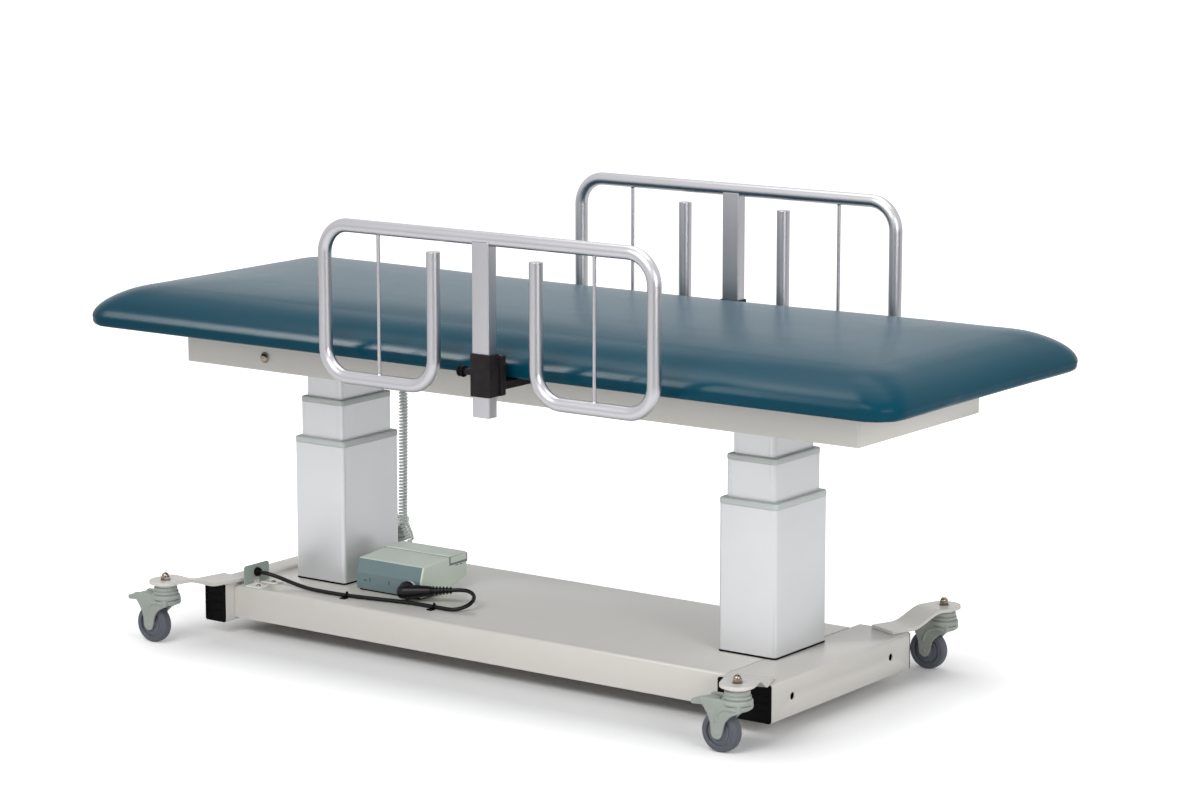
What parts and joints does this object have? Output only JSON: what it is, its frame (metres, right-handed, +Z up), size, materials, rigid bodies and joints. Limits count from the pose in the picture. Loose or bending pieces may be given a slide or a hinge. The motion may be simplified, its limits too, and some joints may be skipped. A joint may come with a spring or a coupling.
{
  "type": "ultrasound table",
  "caption": "Height-adjustable ultrasound table with a padded top, drop side rails, telescopic lift columns and braked swivel casters on a low steel base.",
  "frame": {"origin": "on the floor, under the middle of the padded top", "axes": "+X along the top towards the wide cross tube, +Y across the top away from the side with the lead, +Z up"},
  "size_m": [1.854, 0.8356, 0.8966],
  "materials": {
    "paint": "satin powder coat",
    "column_silver": "satin anodised",
    "rail_silver": "satin",
    "chrome": "polished",
    "upholstery": "satin vinyl",
    "black_plastic": "moulded",
    "socket_black": "satin",
    "caster_plastic": "moulded",
    "tread": "matt",
    "collar_plastic": "moulded",
    "box_plastic": "moulded",
    "actuator_black": "moulded",
    "bare_steel": "ground",
    "lead_black": "satin",
    "bracket_paint": "satin",
    "curly_sheath": "satin"
  },
  "bodies": {
    "base": {"base_pan": "paint", "left_cross_tube": "paint", "right_cross_tube": "paint", "control_box": "box_plastic", "lead_plug": "lead_black", "power_lead": "lead_black", "lead_bracket": "bracket_paint", "lead_gland": "lead_black", "curly_cord": "curly_sheath", "near_left_tube_plug": "black_plastic", "near_left_caster_arm": "paint", "near_left_dome_nut": "chrome", "near_right_tube_plug": "black_plastic", "near_right_caster_arm": "paint", "near_right_dome_nut": "chrome", "far_left_tube_plug": "black_plastic", "far_left_caster_arm": "paint", "far_left_dome_nut": "chrome", "far_right_tube_plug": "black_plastic", "far_right_caster_arm": "paint", "far_right_dome_nut": "chrome", "left_outer_profile": "column_silver", "left_outer_collar": "collar_plastic", "left_actuator_base": "actuator_black", "right_outer_profile": "column_silver", "right_outer_collar": "collar_plastic", "right_actuator_base": "actuator_black"},
    "tabletop": {"skirt_frame": "paint", "cushion": "upholstery", "hand_control": "box_plastic", "near_rail_socket": "socket_black", "far_rail_socket": "socket_black", "left_inner_profile": "column_silver", "left_actuator_rod": "bare_steel", "right_inner_profile": "column_silver", "right_actuator_rod": "bare_steel"},
    "middle_left": {"left_middle_profile": "column_silver", "left_middle_collar": "collar_plastic", "left_actuator_sleeve": "bare_steel"},
    "middle_right": {"right_middle_profile": "column_silver", "right_middle_collar": "collar_plastic", "right_actuator_sleeve": "bare_steel"},
    "near_rail": {"near_side_rail": "rail_silver"},
    "near_plunger": {"near_plunger": "black_plastic"},
    "far_rail": {"far_side_rail": "rail_silver"},
    "far_plunger": {"far_plunger": "black_plastic"},
    "near_left_fork": {"near_left_fork": "caster_plastic"},
    "near_left_wheel": {"near_left_wheel": "tread"},
    "near_left_brake_pedal": {"near_left_brake_pedal": "caster_plastic"},
    "near_right_fork": {"near_right_fork": "caster_plastic"},
    "near_right_wheel": {"near_right_wheel": "tread"},
    "near_right_brake_pedal": {"near_right_brake_pedal": "caster_plastic"},
    "far_left_fork": {"far_left_fork": "caster_plastic"},
    "far_left_wheel": {"far_left_wheel": "tread"},
    "far_left_brake_pedal": {"far_left_brake_pedal": "caster_plastic"},
    "far_right_fork": {"far_right_fork": "caster_plastic"},
    "far_right_wheel": {"far_right_wheel": "tread"},
    "far_right_brake_pedal": {"far_right_brake_pedal": "caster_plastic"},
    "up_button": {"up_button": "collar_plastic"},
    "down_button": {"down_button": "collar_plastic"}
  },
  "joints": [
    {"name": "table_lift", "type": "slide", "parent": "base", "child": "tabletop", "axis": [0, 0, 1], "range_m": [-0.13, 0.26], "deforming": ["curly_cord"]},
    {"name": "left_middle_stage", "type": "slide", "parent": "base", "child": "middle_left", "axis": [0, 0, 1], "range_m": [-0.065, 0.13]},
    {"name": "right_middle_stage", "type": "slide", "parent": "base", "child": "middle_right", "axis": [0, 0, 1], "range_m": [-0.065, 0.13]},
    {"name": "near_rail_slide", "type": "slide", "parent": "tabletop", "child": "near_rail", "axis": [0, 0, 1], "range_m": [-0.186, 0]},
    {"name": "near_plunger_pull", "type": "slide", "parent": "tabletop", "child": "near_plunger", "axis": [-1, 0, 0], "range_m": [0, 0.012], "stiffness_N_per_m": 800},
    {"name": "far_rail_slide", "type": "slide", "parent": "tabletop", "child": "far_rail", "axis": [0, 0, 1], "range_m": [-0.186, 0]},
    {"name": "far_plunger_pull", "type": "slide", "parent": "tabletop", "child": "far_plunger", "axis": [-1, 0, 0], "range_m": [0, 0.012], "stiffness_N_per_m": 800},
    {"name": "near_left_swivel", "type": "hinge", "parent": "base", "child": "near_left_fork", "pos_m": [-0.7095, -0.356, 0.11], "axis": [0, 0, 1], "continuous": true},
    {"name": "near_left_roll", "type": "hinge", "parent": "near_left_fork", "child": "near_left_wheel", "pos_m": [-0.7415, -0.356, 0.0375], "axis": [0, 1, 0], "continuous": true},
    {"name": "near_left_brake", "type": "hinge", "parent": "near_left_fork", "child": "near_left_brake_pedal", "pos_m": [-0.7595, -0.356, 0.0896], "axis": [0, -1, 0], "range_deg": [0, 12]},
    {"name": "near_right_swivel", "type": "hinge", "parent": "base", "child": "near_right_fork", "pos_m": [0.6365, -0.356, 0.11], "axis": [0, 0, 1], "continuous": true},
    {"name": "near_right_roll", "type": "hinge", "parent": "near_right_fork", "child": "near_right_wheel", "pos_m": [0.6045, -0.356, 0.0375], "axis": [0, 1, 0], "continuous": true},
    {"name": "near_right_brake", "type": "hinge", "parent": "near_right_fork", "child": "near_right_brake_pedal", "pos_m": [0.5865, -0.356, 0.0896], "axis": [0, -1, 0], "range_deg": [0, 12]},
    {"name": "far_left_swivel", "type": "hinge", "parent": "base", "child": "far_left_fork", "pos_m": [-0.7095, 0.356, 0.11], "axis": [0, 0, 1], "continuous": true},
    {"name": "far_left_roll", "type": "hinge", "parent": "far_left_fork", "child": "far_left_wheel", "pos_m": [-0.7415, 0.356, 0.0375], "axis": [0, 1, 0], "continuous": true},
    {"name": "far_left_brake", "type": "hinge", "parent": "far_left_fork", "child": "far_left_brake_pedal", "pos_m": [-0.7595, 0.356, 0.0896], "axis": [0, -1, 0], "range_deg": [0, 12]},
    {"name": "far_right_swivel", "type": "hinge", "parent": "base", "child": "far_right_fork", "pos_m": [0.6365, 0.356, 0.11], "axis": [0, 0, 1], "continuous": true},
    {"name": "far_right_roll", "type": "hinge", "parent": "far_right_fork", "child": "far_right_wheel", "pos_m": [0.6045, 0.356, 0.0375], "axis": [0, 1, 0], "continuous": true},
    {"name": "far_right_brake", "type": "hinge", "parent": "far_right_fork", "child": "far_right_brake_pedal", "pos_m": [0.5865, 0.356, 0.0896], "axis": [0, -1, 0], "range_deg": [0, 12]},
    {"name": "up_button_press", "type": "slide", "parent": "tabletop", "child": "up_button", "axis": [0, -1, 0], "range_m": [0, 0.0015], "stiffness_N_per_m": 400},
    {"name": "down_button_press", "type": "slide", "parent": "tabletop", "child": "down_button", "axis": [0, -1, 0], "range_m": [0, 0.0015], "stiffness_N_per_m": 400}
  ],
  "couplings": [
    {"joint": "left_middle_stage", "follows": "table_lift", "ratio": 0.5},
    {"joint": "right_middle_stage", "follows": "table_lift", "ratio": 0.5}
  ]
}
